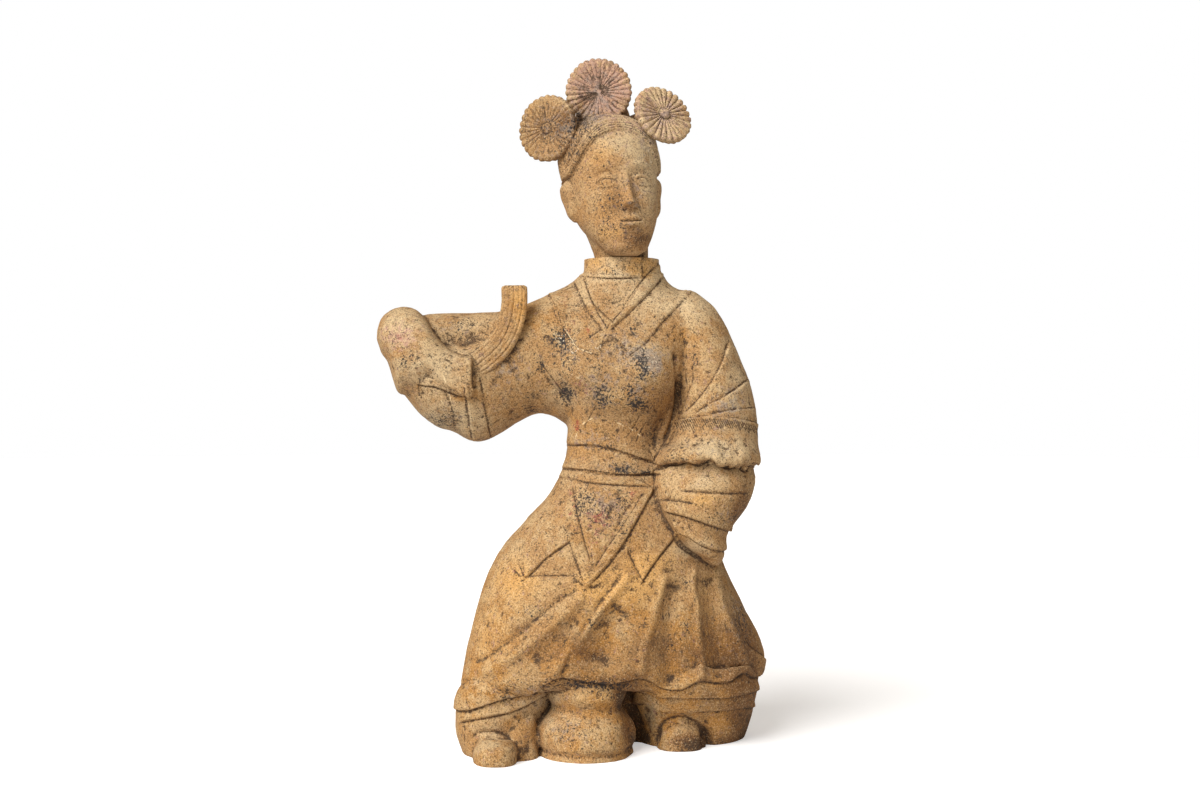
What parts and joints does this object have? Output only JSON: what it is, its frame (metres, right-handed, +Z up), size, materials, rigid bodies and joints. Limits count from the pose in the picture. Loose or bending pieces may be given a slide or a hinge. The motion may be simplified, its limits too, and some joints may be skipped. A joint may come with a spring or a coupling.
{
  "type": "entertainer figure",
  "caption": "Standing fired-clay entertainer in a belted robe, one sleeve raised, the other hand at the hip, a jar at the feet; loose head with flower discs.",
  "frame": {"origin": "at floor level on the flat underside, below the waist and just behind the jar", "axes": "+Z up, -Y to the viewer's side, which is the figure's front, +X to the figure's left"},
  "size_m": [0.5682, 0.293, 0.9962],
  "materials": {
    "robe_clay": "matte fired clay, weathered",
    "head_clay": "matte fired clay, weathered"
  },
  "bodies": {
    "root": {"figure": "robe_clay", "head": "head_clay"}
  },
  "joints": []
}
